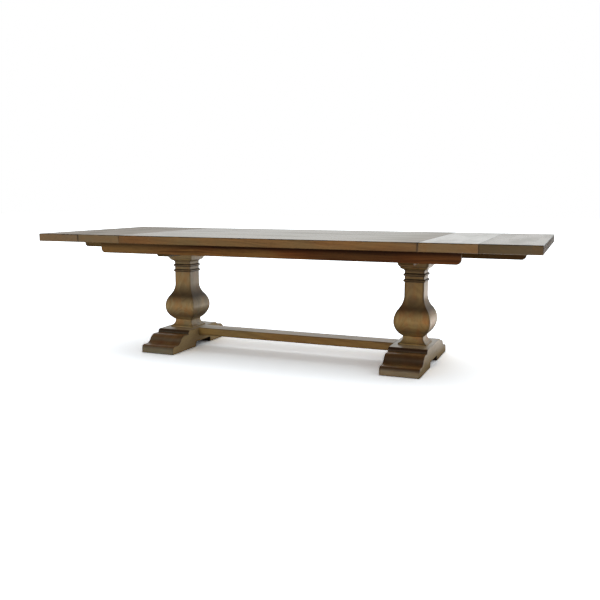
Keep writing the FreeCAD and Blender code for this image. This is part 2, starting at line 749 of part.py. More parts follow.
def make_rod_nuts():
    body = new_body("rod_nuts")
    turns = [math.radians(60 * step) for step in range(6)]
    for bottom in (f"{FOOT_SEAT} - washer_thickness - nut_height", f"{BOLSTER_SEAT} + washer_thickness"):
        hexagons = new_sketch(body, "XY_Plane", bottom)
        for along, across in ROD_PLACES:
            corner = "nut_flats / sqrt(3)"
            draw_outline(hexagons, [(f"{along} + {math.cos(turn):.6f} * {corner}",
                                     f"{across} + {math.sin(turn):.6f} * {corner}") for turn in turns])
            draw_circle(hexagons, along, across, "rod_diameter + 2 * fit_gap")
        add_pad(body, hexagons, "nut_height")
    return body


def make_pieces():
    pieces = [make_main_top(), make_breadboard_pegs(), make_top_buttons(), make_button_screws()]
    pieces += [make_bolster_screws(), make_stretcher(), make_stretcher_screws(), make_foot_glides()]
    pieces += [make_tie_rods(), make_rod_washers(), make_rod_nuts()]
    pieces += [make_apron("front", False), make_apron("back", True)]
    for side, turned in ENDS:
        pieces += [make_breadboard(side, turned), make_leaf(side, turned), make_leaf_pins(side, turned)]
        pieces.append(make_rail(f"end_rail_{side}", turned, END_RAIL, True))
        pieces.append(make_cross_rail(side, turned))
        pieces.append(make_rail(f"inner_rail_{side}", turned, INNER_RAIL, False))
        pieces += [make_bolster(side, turned), make_column(side, turned), make_foot(side, turned)]
        for lane, sign in LANES:
            pieces.append(make_runner(lane, sign, side, turned))
            pieces.append(make_runner_stop(lane, sign, side, turned))
    return pieces


def check_pieces(pieces):
    # Every feature is sound, every cut takes wood away, and every piece is a valid solid
    for thing in doc.Objects:
        if "Invalid" in thing.State or "Error" in thing.State:
            raise RuntimeError(f"{thing.Name} failed: {thing.State}")
        if thing.TypeId == "PartDesign::Pocket":
            if thing.Shape.Volume >= thing.BaseFeature.Shape.Volume:
                raise RuntimeError(f"{thing.Name} cuts nothing")
    for piece in pieces:
        if piece.Shape.isNull() or not piece.Shape.isValid() or not piece.Shape.Solids:
            raise RuntimeError(f"{piece.Label} is not a sound solid")


def write_pieces(pieces):
    os.makedirs("parts", exist_ok=True)
    for piece in pieces:
        piece.Shape.exportStep(f"parts/{piece.Label}.step")
        box = piece.Shape.BoundBox
        print(f"{piece.Label}: {len(piece.Shape.Solids)} solids, {box.XLength:.1f} x {box.YLength:.1f} x "
              f"{box.ZLength:.1f} mm")


table = make_pieces()
doc.recompute()
check_pieces(table)
write_pieces(table)
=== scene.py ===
import functools
import math
import bpy
import numpy as np
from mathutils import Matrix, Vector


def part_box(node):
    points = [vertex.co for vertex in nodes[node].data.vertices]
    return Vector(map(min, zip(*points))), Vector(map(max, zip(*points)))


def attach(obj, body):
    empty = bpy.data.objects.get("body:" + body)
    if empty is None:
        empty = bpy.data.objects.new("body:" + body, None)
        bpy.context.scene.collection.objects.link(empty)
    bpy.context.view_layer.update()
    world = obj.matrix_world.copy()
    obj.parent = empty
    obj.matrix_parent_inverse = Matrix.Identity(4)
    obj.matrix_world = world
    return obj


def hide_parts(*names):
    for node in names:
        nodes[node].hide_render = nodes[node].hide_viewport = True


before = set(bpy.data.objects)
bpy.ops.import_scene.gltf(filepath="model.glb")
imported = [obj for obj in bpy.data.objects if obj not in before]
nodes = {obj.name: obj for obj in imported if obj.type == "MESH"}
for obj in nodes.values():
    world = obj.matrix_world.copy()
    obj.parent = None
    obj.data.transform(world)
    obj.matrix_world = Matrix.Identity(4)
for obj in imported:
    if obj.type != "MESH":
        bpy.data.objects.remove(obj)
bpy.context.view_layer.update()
print("frame loaded:", len(nodes), "nodes")

ends = {"left": -1, "right": 1}
lanes = ("front", "back")
axisIndex = {"x": 0, "y": 1, "z": 2}


def mm(size):  # settings are in millimetres, meshes in metres
    return size * 0.001


def linear(hexCode):
    # sRGB to linear light: a straight line near black, then ((c + 0.055) / 1.055) to the power 2.4
    level = np.array([int(hexCode[i:i + 2], 16) for i in (1, 3, 5)]) / 255
    light = np.where(level <= 0.04045, level / 12.92, ((level + 0.055) / 1.055) ** 2.4)
    return (*light.tolist(), 1.0)


def traceOutline(corners, arcSteps=12):
    # Walks the corners: (across, up) is reached straight, (across, up, radius, bend) on the shorter arc
    # of that radius, to the left for bend 1 and to the right for -1. Point = centre + radius * (cos, sin)
    runs = []
    for place, corner in enumerate(corners):
        end = np.array(corner[:2], float)
        if len(corner) == 2:
            runs.append(end[None])
            continue
        start = np.array(corners[place - 1][:2], float)
        radius, bend = corner[2:]
        chord = end - start
        reach = math.hypot(chord[0], chord[1])
        left = np.array([-chord[1], chord[0]]) / reach
        centre = (start + end) / 2 + left * bend * math.sqrt(max(radius ** 2 - reach ** 2 / 4, 0))
        first = math.atan2(start[1] - centre[1], start[0] - centre[0])
        sweep = bend * 2 * math.asin(min(reach / 2 / radius, 1))
        angle = first + sweep * np.arange(1, arcSteps + 1) / arcSteps
        runs.append(centre + radius * np.stack([np.cos(angle), np.sin(angle)], 1))
    return np.concatenate(runs)


def walkSides(points):  # from the point before, and to the point after
    return points - np.roll(points, 1, 0), np.roll(points, -1, 0) - points


def sharpCorners(points, closed=True, least=25):  # true where the walk turns by more than that many degrees
    back, ahead = walkSides(points)
    level = math.cos(math.radians(least)) * np.linalg.norm(back, axis=1) * np.linalg.norm(ahead, axis=1)
    sharp = (back * ahead).sum(1) < level
    if not closed:
        sharp[[0, -1]] = False
    return sharp


def softenCorners(points, sharp, reach, steps=4, most=0.45):
    # Each sharp corner c becomes (1-t)^2 a + 2t(1-t) c + t^2 b, with a and b reach away along its sides, but
    # no further than a share of the side
    back, ahead = walkSides(points)
    backLength = np.linalg.norm(back, axis=1, keepdims=True)
    aheadLength = np.linalg.norm(ahead, axis=1, keepdims=True)
    a = points - back / backLength * np.minimum(reach, most * backLength)
    b = points + ahead / aheadLength * np.minimum(reach, most * aheadLength)
    t = np.linspace(0, 1, steps + 1)[None, :, None]
    curve = (1 - t) ** 2 * a[:, None] + 2 * t * (1 - t) * points[:, None] + t ** 2 * b[:, None]
    curve = np.where(sharp[:, None, None], curve, points[:, None])
    return curve[sharp[:, None] | (np.arange(steps + 1)[None] == 0)]


def spreadPoints(points, step, closed=True):
    # Adds points along the long straight runs, a step apart, by linear interpolation over the length walked
    walk = np.concatenate([points, points[:1]]) if closed else points
    length = np.concatenate([[0], np.cumsum(np.linalg.norm(np.diff(walk, axis=0), axis=1))])
    pieces = np.maximum(np.ceil(np.diff(length) / step).astype(int), 1)
    start = np.repeat(length[:-1], pieces)
    share = np.concatenate([np.arange(n) / n for n in pieces])
    at = start + share * np.repeat(np.diff(length), pieces)
    if not closed:
        at = np.append(at, length[-1])
    return np.stack([np.interp(at, length, walk[:, k]) for k in (0, 1)], 1)


def mitredNormals(points, closed=True):
    # The way out at each point of a left-turning walk: the normals of its two sides added, over 1 + their
    # dot product, so that a corner moved by it keeps both its sides parallel
    ahead = np.roll(points, -1, 0) - points
    if not closed:
        ahead[-1] = points[-1] - points[-2]
    ahead /= np.linalg.norm(ahead, axis=1, keepdims=True)
    after = np.stack([ahead[:, 1], -ahead[:, 0]], 1)
    before = np.roll(after, 1, 0)
    if not closed:
        before[0] = after[0]
    return (after + before) / (1 + (after * before).sum(1, keepdims=True))


def cornerMarks(points, closed=True, tight=7.0, shortest=0.5):
    # Proud corners and hollows: the bend at each point over the length there, or over the shortest length,
    # as a share of a bend of that tight radius in mm
    back, ahead = walkSides(points)
    turn = np.arctan2(back[:, 0] * ahead[:, 1] - back[:, 1] * ahead[:, 0], (back * ahead).sum(1))
    if not closed:
        turn[[0, -1]] = 0
    length = (np.linalg.norm(back, axis=1) + np.linalg.norm(ahead, axis=1)) / 2
    bend = turn / np.maximum(length, shortest) * tight
    return np.clip(bend, 0, 1), np.clip(-bend, 0, 1)


def wander(count, seed, waves=(2, 3, 5, 8, 13), swing=1.6):
    # A smooth closed wander, mostly from -1 to 1: the mean of sines of whole wave counts with drawn phases,
    # times swing
    phase = np.random.default_rng(seed).uniform(0, 2 * math.pi, len(waves))
    turn = np.linspace(0, 2 * math.pi, count, endpoint=False)
    return np.sin(np.outer(turn, waves) + phase).mean(1) * swing


def addObject(name, data):
    thing = bpy.data.objects.new(name, data)
    bpy.context.scene.collection.objects.link(thing)
    return thing


def cutSocket(corner, cell, centre, inward, radius, steps=24):
    # A round hole in one flat cell: rim points are centre + radius (cos, sin) along the cell's edges, each
    # joined to the cell's corner in its quarter, and again further in, where one face closes the hole
    a, b, c, d = cell
    across, up = [(corner[end] - corner[a]) / np.linalg.norm(corner[end] - corner[a]) for end in (b, d)]
    angle = 2 * math.pi * np.arange(steps)[:, None] / steps
    rim = centre + radius * (np.cos(angle) * across + np.sin(angle) * up)
    outer = len(corner) + np.arange(steps)
    after = np.roll(outer, -1)
    around = np.array([c, d, a, b])
    faces = np.stack([after, outer, np.repeat(around, steps // 4)], 1).tolist()
    faces += np.stack([outer[::steps // 4], np.roll(around, 1), around], 1).tolist()
    faces += np.stack([outer, after, after + steps, outer + steps], 1).tolist()
    faces.append((outer + steps).tolist())
    return np.concatenate([rim, rim + inward]), faces


def makePiece(name, grid, marks, body, replaced, material, sockets=(), sharpFrom=38):
    # Rows of closed rings become quads; the first and last ring are closed by one face each. A socket is
    # given by its row and column of the grid, its centre, the way in and its radius
    rows, columns = grid.shape[:2]
    index = np.arange(rows * columns).reshape(rows, columns)
    right = np.roll(index, -1, 1)
    quads = np.stack([index[:-1], right[:-1], right[1:], index[1:]], 2).reshape(-1, 4)
    corner = grid.reshape(-1, 3)
    caps = [index[0][::-1].tolist(), index[-1].tolist()]
    fan = np.concatenate([quads[:, [0, 1, 2]], quads[:, [0, 2, 3]]])
    for cap in caps:
        cap = np.array(cap)
        fan = np.concatenate([fan, np.stack([np.full(len(cap) - 2, cap[0]), cap[1:-1], cap[2:]], 1)])
    volume = np.einsum("ij,ij->i", corner[fan[:, 0]], np.cross(corner[fan[:, 1]], corner[fan[:, 2]])).sum()
    cut = [socket[0] * columns + socket[1] for socket in sockets]
    faces = np.delete(quads, cut, 0).tolist() + caps
    added = []
    for place, (row, column, *hole) in zip(cut, sockets):
        points, sides = cutSocket(corner, quads[place], *hole)
        corner = np.concatenate([corner, points])
        faces += sides
        added += [(row, column)] * len(points)
    if volume < 0:  # the rings run the other way round, so every face is turned to point out
        faces = [face[::-1] for face in faces]
    mesh = bpy.data.meshes.new(name)
    mesh.from_pydata(corner.tolist(), [], faces)
    for label, values in marks.items():
        layer = mesh.attributes.new(label, "FLOAT", "POINT")
        values = np.broadcast_to(values, (rows, columns))
        values = np.concatenate([values.ravel(), [values[place] for place in added]])
        layer.data.foreach_set("value", values.astype(np.float32))
    mesh.polygons.foreach_set("use_smooth", np.ones(len(mesh.polygons), bool))
    mesh.set_sharp_from_angle(angle=math.radians(sharpFrom))
    mesh.materials.append(material)
    piece = addObject(name, mesh)
    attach(piece, body)
    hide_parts(replaced)


def easedTimber(outline, axes, low, high, ease, reach, seed, uneven=0.3, feather=5.0, steps=4, least=0.1):
    # The outline, in mm, is carried along its third axis from low to high. Near both ends it is drawn in by
    # a quarter round, inset = ease (1 - sin a) at depth ease (1 - cos a), and the ease wanders on the way.
    # Its corners are rounded by reach, less where the ring is drawn in, and at least by a little.
    # Marks: arris is 1 on rounded edges, hollow is 1 in inside corners. Also returns the outermost ring
    edge = ease * (1 + uneven * wander(len(outline), seed))
    angle = np.linspace(0, math.pi / 2, steps + 1)
    inset = np.concatenate([[1], 1 - np.sin(angle), [0]])[:, None] * edge
    inset[0] += feather
    depth = np.concatenate([[0], 1 - np.cos(angle), [1]])[:, None] * edge
    depth[-1] += feather
    way = mitredNormals(outline)
    sharp = sharpCorners(outline)
    rings = []
    for ringInset, ringDepth in zip(inset, depth):
        ring = np.concatenate([outline - way * ringInset[:, None], ringDepth[:, None]], 1)
        rings.append(softenCorners(ring, sharp, max(reach - ringInset.mean(), least)))
    rings = np.array(rings)
    outer = rings[-1, :, :2]
    proud, sunk = cornerMarks(outer)
    ring = np.concatenate([rings[..., :2], rings[::-1, :, :2]])
    grid = np.zeros((*ring.shape[:2], 3))
    grid[..., axisIndex[axes[0]]] = ring[..., 0]
    grid[..., axisIndex[axes[1]]] = ring[..., 1]
    grid[..., axisIndex[axes[2]]] = np.concatenate([low + rings[..., 2], high - rings[::-1, :, 2]])
    worn = np.concatenate([[0], np.ones(steps + 1), [0]])
    worn = np.concatenate([worn, worn[::-1]])[:, None]
    marks = {"arris": np.maximum(worn, proud), "hollow": np.repeat(sunk[None], len(worn), 0)}
    for mark in marks.values():  # none on the rings of the two flat faces, or they would streak across them
        mark[[0, -1]] = 0
    return mm(grid), marks, outer


def boxOf(node):  # lowest and highest corner in millimetres
    low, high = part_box(node)
    return np.array(low) * 1000, np.array(high) * 1000


def setInputs(tree, node, values):  # a value may be the output of another node
    for socket, value in values.items():
        if isinstance(value, bpy.types.NodeSocket):
            tree.links.new(value, node.inputs[socket])
        else:
            node.inputs[socket].default_value = value


def addNode(tree, kind, values=None, out=0, **settings):  # returns one output, and through it the node
    node = tree.nodes.new("ShaderNode" + kind)
    for key, value in settings.items():
        setattr(node, key, value)
    setInputs(tree, node, values or {})
    return node.outputs[out]


def newMaterial(name):
    material = bpy.data.materials.new(name)
    material.use_nodes = True
    return material, material.node_tree, functools.partial(addNode, material.node_tree)


# Hardwood, planed and sanded, stained brown, glazed and waxed: rings and streaks that wander along the
# stick, pores as short dark lines, stain that took warmer or greyer by patches, end grain that drank more of
# it, dark glaze left in joints and on mouldings, edges burnished by hand. The glaze layer is also painted
# shade on leaning mouldings and in recesses, and the flat-face tone and most ramps are painted light and
# shade. A layer is a colour and its share
woodLook = {
    "grain": "x",
    "shift": (0.0, 0.0, 0.0),
    "heart": (0.0, 70.0, 130.0),
    "plankWidth": 0.0,
    "plankJump": (5.0, 0.3, 0.3),  # how far from each other in the tree planks may come, in metres
    "driftRate": (1.6, 6.0, 6.0),  # waves in a metre, along and across
    "driftReach": 60.0,
    "middle": "#79562F",
    "deep": "#5E4021",
    "pale": ("#906A3C", 0.55),
    "plank": ("#4A3116", 0.35),
    "warm": ("#74461B", 0.45),
    "cool": ("#5F5433", 0.45),
    "line": ("#2C1607", 0.0),
    "pore": ("#2A1B0A", 0.4),
    "end": ("#5A4A2C", 0.6),
    "burnish": ("#3E2B14", 0.5),
    # painted: a darker, greyer tone on faces that look up or down, set against the light and sheen the top
    # gets
    "face": ("#4A4A34", 0.0),
    "ramps": (),  # colour laid along an axis, mostly painted light and shade: the axis, where it starts and is full, colour, share
    # the glaze colour: dark glaze in joints; on leaning mouldings, in the feet's arches and at the column
    # heads the same colour is painted shade
    "glazeAndShade": ("#20140A", 0.75),
    "wax": ("#150C05", 0.85),
    "ring": 13.0,  # real rings are about 4 mm apart: drawn coarser, or they would not show
    "ringLength": 900.0,
    "ringLevels": (0.36, 0.64),  # noise levels that become 0 and 1, as in the patterns below
    "taper": 0.07,  # how much the rings close in along the stick, which arches them on flat faces
    # along and across the grain in mm, detail, and the two noise levels that become 0 and 1
    "streak": (420.0, 12.0, 4.0, 0.22, 0.70),
    "fleck": (45.0, 2.0, 2.0, 0.53, 0.72),  # real pores are about 0.3 mm wide: drawn coarser to show
    "warmPatch": (520.0, 190.0, 2.0, 0.48, 0.66),
    "coolPatch": (520.0, 190.0, 2.0, 0.52, 0.36),
    "rub": (60.0, 40.0, 3.0, 0.30, 0.58),
    "endPatch": (85.0, 13.0, 0.34, 0.62, 0.6),  # width and height on end grain, noise levels, least share
    "lineLevels": (0.5, 0.1),  # of the streaks, for the dark lines in them
    "noiseRoughness": 0.58,
    "facing": (0.6, 0.9),  # how squarely a face looks along an axis to count as none or all of it
    "roughness": 0.34,
    "polishChange": (-0.03, 0.05),  # from warm to cool patches
    "dull": ("x", 0.0, 1.0, 0.0),  # where polish has gone: the axis, where that starts and is full, how much
    "glazeDull": 0.4,
    "ior": 1.46,  # wax
    "specular": 0.5,
    "coat": 0.0,
    "coatRoughness": 0.14,
    "relief": 0.10,
}
grainTurn = {"x": (0, 0, 0), "y": (0, 0, -math.pi / 2), "z": (0, math.pi / 2, 0)}
grainAxis = {"x": (1, 0, 0), "y": (0, 1, 0), "z": (0, 0, 1)}


def makeWood(name, **changes):
    look = dict(woodLook, **changes)
    material, tree, add = newMaterial(name)
    source = add("TexCoord").node.outputs
    stick = add("Mapping", {"Vector": source["Object"], "Rotation": grainTurn[look["grain"]],
                            "Location": look["shift"]})
    masks = {}
    if look["plankWidth"]:  # each plank is cut from another place, and has its own tone
        across = add("SeparateXYZ", {0: stick}, out="Y")
        count = add("Math", {0: across, 1: mm(look["plankWidth"])}, operation="DIVIDE")
        whole = add("Math", {0: count}, operation="FLOOR")
        draw = add("TexWhiteNoise", {"W": whole}, noise_dimensions="1D").node.outputs
        jump = add("VectorMath", {0: draw["Color"], 1: look["plankJump"]}, operation="MULTIPLY")
        stick = add("VectorMath", {0: stick, 1: jump}, operation="ADD")
        masks["plank"] = draw["Value"]
    # slow drift of the grain across the stick
    reach = mm(look["driftReach"])
    slow = add("VectorMath", {0: stick, 1: look["driftRate"]}, operation="MULTIPLY")
    drift = add("TexNoise", {"Vector": slow, "Scale": 1.0, "Detail": 2.0}, out="Color")
    drift = add("VectorMath", {0: drift, 1: (0.5, 0.5, 0.5)}, operation="SUBTRACT")
    drift = add("VectorMath", {0: drift, 1: (0.0, reach, reach)}, operation="MULTIPLY")
    grain = add("VectorMath", {0: stick, 1: drift}, operation="ADD")
    # growth rings about a heart that lies outside the stick: noise over the distance from it, so widths vary
    heart = add("VectorMath", {0: grain, 1: [mm(v) for v in look["heart"]]}, operation="ADD")
    along = add("SeparateXYZ", {0: heart}, out="X")
    flat = add("VectorMath", {0: heart, 1: (0, 1, 1)}, operation="MULTIPLY")
    radius = add("VectorMath", {0: flat}, out="Value", operation="LENGTH")
    radius = add("Math", {0: along, 1: look["taper"], 2: radius}, operation="MULTIPLY_ADD")
    radius = add("Math", {0: radius, 1: 1 / mm(look["ring"])}, operation="MULTIPLY")
    along = add("Math", {0: along, 1: 1 / mm(look["ringLength"])}, operation="MULTIPLY")
    at = add("CombineXYZ", {0: radius, 1: along})
    noise = add("TexNoise", {"Vector": at, "Scale": 1.0, "Detail": 3.0})
    zero, one = look["ringLevels"]
    masks["ring"] = add("MapRange", {0: noise, 1: zero, 2: one})
    # streaks, pores, patches and rubbing: noise drawn out along the grain
    for label in ("streak", "fleck", "warmPatch", "coolPatch", "rub"):
        length, width, detail, zero, one = look[label]
        scale = (1 / mm(length), 1 / mm(width), 1 / mm(width))
        scaled = add("VectorMath", {0: grain, 1: scale}, operation="MULTIPLY")
        noise = add("TexNoise", {"Vector": scaled, "Scale": 1.0, "Detail": detail,
                                 "Roughness": look["noiseRoughness"]})
        masks[label] = add("MapRange", {0: noise, 1: zero, 2: one})
    zero, one = look["lineLevels"]
    masks["line"] = add("MapRange", {0: masks["streak"], 1: zero, 2: one})
    for label in ("arris", "hollow", "glazeAndShade"):
        masks[label] = add("Attribute", out="Fac", attribute_name=label)
    masks["burnish"] = add("Math", {0: masks["arris"], 1: masks["rub"]}, operation="MULTIPLY")
    # end grain, and faces that look up or down, which take the painted tone of the flat top
    zero, one = look["facing"]
    for label, axis in (("end", grainAxis[look["grain"]]), ("face", grainAxis["z"])):
        facing = add("VectorMath", {0: source["Normal"], 1: axis}, out="Value", operation="DOT_PRODUCT")
        facing = add("Math", {0: facing}, operation="ABSOLUTE")
        masks[label] = add("MapRange", {0: facing, 1: zero, 2: one})
    wide, tall, zero, one, least = look["endPatch"]
    scale = (0.0, 1 / mm(wide), 1 / mm(tall))
    scaled = add("VectorMath", {0: grain, 1: scale}, operation="MULTIPLY")
    noise = add("TexNoise", {"Vector": scaled, "Scale": 1.0, "Detail": 3.0})
    patch = add("MapRange", {0: noise, 1: zero, 2: one, 3: least})
    masks["end"] = add("Math", {0: masks["end"], 1: patch}, operation="MULTIPLY")
    places = add("SeparateXYZ", {0: source["Object"]}).node.outputs
    ramps = [add("MapRange", {0: places[axisIndex[axis]], 1: mm(start), 2: mm(full)},
                 interpolation_type="SMOOTHSTEP")
             for axis, start, full in (look["dull"][:3], *[ramp[:3] for ramp in look["ramps"]])]
    stain = {"ring": "pale", "plank": "plank", "warmPatch": "warm", "coolPatch": "cool", "face": "face"}
    finish = {"line": "line", "end": "end", "fleck": "pore", "burnish": "burnish", "glazeAndShade": "glazeAndShade",
              "hollow": "wax"}
    layers = [(masks[mask], *look[layer]) for mask, layer in stain.items() if mask in masks]
    layers += [(mask, *ramp[3:]) for mask, ramp in zip(ramps[1:], look["ramps"])]
    layers += [(masks[mask], *look[layer]) for mask, layer in finish.items()]
    colour = add("Mix", {0: masks["streak"], 6: linear(look["deep"]), 7: linear(look["middle"])}, out=2,
                 data_type="RGBA")
    for mask, tint, share in layers:
        if share == 0:
            continue
        amount = add("Math", {0: mask, 1: share}, operation="MULTIPLY")
        colour = add("Mix", {0: amount, 6: colour, 7: linear(tint)}, out=2, data_type="RGBA")
    least, most = [look["roughness"] + change for change in look["polishChange"]]
    rough = add("MapRange", {0: masks["coolPatch"], 3: least, 4: most})
    for mask, share in ((masks["glazeAndShade"], look["glazeDull"]), (ramps[0], look["dull"][3])):
        rough = add("Math", {0: mask, 1: share, 2: rough}, operation="MULTIPLY_ADD")
    height = add("Math", {0: masks["streak"], 1: masks["fleck"]}, operation="SUBTRACT")
    bump = add("Bump", {"Height": height, "Strength": look["relief"], "Distance": mm(1)})
    setInputs(tree, tree.nodes["Principled BSDF"], {
        "Base Color": colour, "Roughness": rough, "Normal": bump, "IOR": look["ior"],
        "Specular IOR Level": look["specular"], "Coat Weight": look["coat"],
        "Coat Roughness": look["coatRoughness"]})
    return material


# Table top: an inner panel of planks, a cross-grain board at each end, and a loose leaf beyond each
topSize = {
    "edgeEase": 2.6,
    "jointEase": 1.0,
    "leafEase": 1.3,
    "cornerReach": 2.5,
    "cornerRun": 9.0,
    "pointStep": 24.0,
    "panelPlank": 163.0,
    "boardPlank": 152.4,
    "feather": 3.5,
    "seamGlaze": {"leaf_left": 0.55, "leaf_right": 0.2, "panel_left": 0.0, "panel_right": 0.6},
    "socketDeeper": 0.5,  # than the pin is long
    "socketWider": 1 / 6,  # than the pin, on each side
    "underArris": 0.15,  # how much of the dark burnish of the upper edge the lower edge has
    "seed": {"panel": 11, "board": 21, "leaf": 31},
}
topFigure = {"burnish": ("#1C1209", 0.95), "relief": 0.03}  # edges dark all round, flat faces smooth
# face paints a darker, greyer tone on the flat top; the ramp is painted shade towards the left end, where
# the top's reflection is dimmer
panelLook = {"middle": "#75532D", "deep": "#5B3E20", "pale": ("#8B6639", 0.55), "face": ("#4C432B", 0.5),
             "roughness": 0.30, "coat": 0.2, "dull": ("x", 620, 905, 0.10),
             "ramps": [("x", -500, -900, "#5C3B20", 0.45)]}
# face: painted, a darker, greyer tone on the flat top of the end boards and leaves
endLook = {
    "left": {"cool": ("#5C523A", 0.6), "face": ("#50442E", 0.55)},
    "right": {"face": ("#503F30", 0.55)},
}
boardLook = {
    "left": {"end": ("#6A5B40", 0.8), "roughness": 0.40},
    "right": {"end": ("#7C6140", 0.75), "roughness": 0.22, "coat": 0.35},
}
leafLook = {
    "left": {"end": ("#6D5B43", 0.8), "roughness": 0.41},
    "right": {"end": ("#4E3E24", 0.9), "endPatch": (85.0, 13.0, 0.34, 0.62, 0.8), "roughness": 0.28,
              # ramp: painted sheen, the outer end face greyed
              "coat": 0.25, "ramps": [("x", 1521, 1523.5, "#666662", 0.6)]},
}


def boardOutline(x0, x1, y0, y1, holes):
    # With a point a short run away from each corner, where edge marks end, and one on each side of a hole
    run = topSize["cornerRun"]
    beside = {x: [(x, y + side) for edge, y in holes if edge == x for side in (-run, run)] for x in (x0, x1)}
    corners = [(x0, y0), (x0 + run, y0), (x1 - run, y0),
               (x1, y0), (x1, y0 + run), *beside[x1], (x1, y1 - run),
               (x1, y1), (x1 - run, y1), (x0 + run, y1),
               (x0, y1), (x0, y1 - run), *beside[x0][::-1], (x0, y0 + run)]
    return spreadPoints(np.array(corners, float), topSize["pointStep"])


def leafPins(end):  # across, height and tip of a leaf's three pins, and their radius
    low, high = boxOf("leaf_pins_" + end)
    radius = (high[2] - low[2]) / 2
    middle = (low + high) / 2
    tip = low[0] if end == "right" else high[0]
    return (low[1] + radius, middle[1], high[1] - radius), middle[2], tip, radius


def pinSockets(outer, row, end, edge):
    # Sockets for the pins of a leaf, in the flat cells of the board's end that the pins enter
    rows, height, tip, radius = leafPins(end)
    middle = (outer + np.roll(outer, -1, 0)) / 2
    deep = tip - edge
    inward = np.array([deep + math.copysign(topSize["socketDeeper"], deep), 0, 0])
    sockets = []
    for y in rows:
        column = int(np.argmin(np.linalg.norm(middle - (edge, y), axis=1)))
        sockets.append((row, column, mm(np.array([edge, y, height])), mm(inward),
                        mm(radius + topSize["socketWider"])))
    return sockets


def makeTopBoard(node, body, eases, seams, seed, material, span=None, pinEnd=None):
    # Edge ease by side: the two ends by how they join, the long edges alike. Dark glaze lies in the joints,
    # and the end that a leaf joins has sockets for its pins
    low, high = boxOf(node)
    x0, x1 = span or (low[0], high[0])
    edge = {"left": x0, "right": x1}.get(pinEnd)
    holes = [(edge, y) for y in leafPins(pinEnd)[0]] if pinEnd else []
    outline = boardOutline(x0, x1, low[1], high[1], holes)
    ease = np.full(len(outline), topSize["edgeEase"])
    ease[np.isclose(outline[:, 0], x0)] = eases[0]
    ease[np.isclose(outline[:, 0], x1)] = eases[1]
    grid, marks, outer = easedTimber(outline, "xyz", low[2], high[2], ease, topSize["cornerReach"], seed,
                                     feather=topSize["feather"])
    glazeAndShade = np.zeros(grid.shape[:2])
    for x, seam in zip((x0, x1), seams):
        glazeAndShade[1:-1, np.abs(outer[:, 0] - x) <= topSize["cornerReach"]] = seam
    marks["glazeAndShade"] = glazeAndShade
    marks["arris"][:len(grid) // 2] *= topSize["underArris"]
    sockets = pinSockets(outer, len(grid) // 2 - 1, pinEnd, edge) if pinEnd else ()
    makePiece(node + "_timber", grid, marks, body, node, material, sockets)


def makeTop():
    s = topSize
    seam = s["seamGlaze"]
    joint = boxOf("breadboard_right")[0][0]
    wood = makeWood("waxed_hardwood_top_panel", plankWidth=s["panelPlank"], shift=(0.4, 0.0, 0.0),
                    **topFigure, **panelLook)
    makeTopBoard("main_top", "table_frame", (s["jointEase"], s["jointEase"]),
                 (seam["panel_left"], seam["panel_right"]), s["seed"]["panel"], wood, span=(-joint, joint))
    for place, (end, sign) in enumerate(ends.items()):
        wood = makeWood("waxed_hardwood_end_board_" + end, grain="y", plankWidth=s["boardPlank"],
                        shift=(1.3 + place, 0.2 * sign, 0.3), **topFigure, **endLook[end], **boardLook[end])
        makeTopBoard("breadboard_" + end, "table_frame",
                     (s["jointEase"], s["leafEase"])[::sign],
                     (seam["panel_" + end], seam["leaf_" + end])[::sign],
                     s["seed"]["board"] + place, wood, pinEnd=end)
        wood = makeWood("waxed_hardwood_leaf_" + end, grain="y", plankWidth=s["boardPlank"],
                        shift=(2.1 - place, 0.1 * sign, 0.5), **topFigure, **endLook[end], **leafLook[end])
        makeTopBoard("leaf_" + end, end + "_leaf", (s["leafEase"], s["edgeEase"])[::sign],
                     (seam["leaf_" + end], 0)[::sign], s["seed"]["leaf"] + place, wood)
    print("top: panel, end boards and leaves")


# Aprons, runners and bearers: straight timbers whose lower end corners are rounded off
railSize = {
    "apronRadius": 26.0,
    "runnerRadius": 22.0,
    "bearerRadius": 16.0,
    "ease": 1.6,
    "cornerReach": 2.5,
    "pointStep": 16.0,
    "seed": {"apron": 41, "runner": 51, "bearer": 61},
}
apronLook = {"middle": "#684421", "deep": "#3E1E09", "pale": ("#7E5429", 0.5), "warm": ("#5C2608", 0.6),
             "cool": ("#6A5026", 0.5), "line": ("#2C1106", 0.55), "streak": (520.0, 13.0, 3.0, 0.28, 0.62),
             "specular": 0.12,
             # ramps: darker from x 100 to 450 mm, lighter again from 700 to 950 mm, painted shade under the
             # top's overhang from z 676 to 704 mm, and painted light towards the left end from x -300 to
             # -950 mm
             "ramps": [("x", 100, 450, "#381B0A", 0.65), ("x", 700, 950, "#663C1A", 0.6),
                       ("z", 676, 704, "#260A02", 0.85), ("x", -300, -950, "#6E542F", 0.65)]}
runnerLook = {
    "left": {"middle": "#74592E", "deep": "#5A411A", "pale": ("#826838", 0.5), "warm": ("#6A461E", 0.5),
             "cool": ("#72623A", 0.5), "specular": 0.3},
    # painted shade: the right runners are a darker copy of the left, for the shade under the right leaf
    "right": {"middle": "#4A2E0E", "deep": "#341E06", "pale": ("#543A14", 0.5), "warm": ("#422006", 0.5),
              "cool": ("#463616", 0.5), "specular": 0.1},
}
bearerLook = {"middle": "#5E4622", "deep": "#45300F", "pale": ("#735828", 0.5), "warm": ("#5A3312", 0.5),
              "cool": ("#62522C", 0.5), "specular": 0.2}


